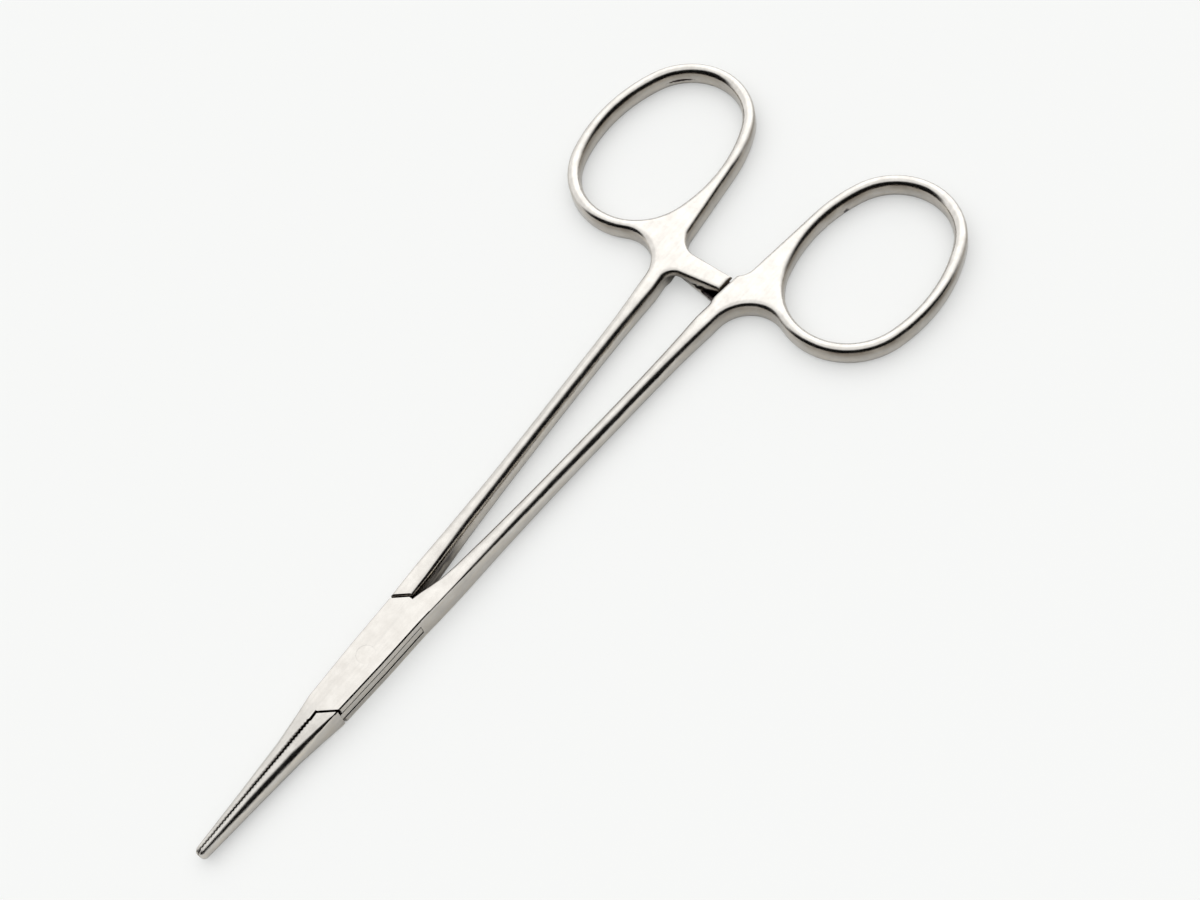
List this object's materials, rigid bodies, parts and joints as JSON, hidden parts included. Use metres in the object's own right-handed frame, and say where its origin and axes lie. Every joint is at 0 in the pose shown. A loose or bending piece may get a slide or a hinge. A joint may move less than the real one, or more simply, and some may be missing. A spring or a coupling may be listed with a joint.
{
  "type": "mosquito forceps",
  "caption": "Straight mosquito forceps with serrated jaws, a box lock, slim shanks, interlocking ratchet arms and oval finger rings.",
  "frame": {"origin": "on the pivot axis of the box lock, at the back face of the box", "axes": "+X runs along the instrument from the jaw tips to the finger rings, +Z is the front face's normal and points up as the forceps lies on its back, +Y completes the right-handed frame"},
  "size_m": [0.1256, 0.0566, 0.0038],
  "materials": {
    "female_steel": "fine satin, polished edges",
    "male_steel": "fine satin, polished edges",
    "pin_steel": "fine satin, ground flush"
  },
  "bodies": {
    "female": {"female_half": "female_steel", "joint_pin": "pin_steel"},
    "male": {"male_half": "male_steel"}
  },
  "joints": [
    {"name": "box_lock", "type": "hinge", "parent": "female", "child": "male", "pos_m": [0, 0, 0.0019], "axis": [0, 0, 1], "range_deg": [0, 70]}
  ]
}
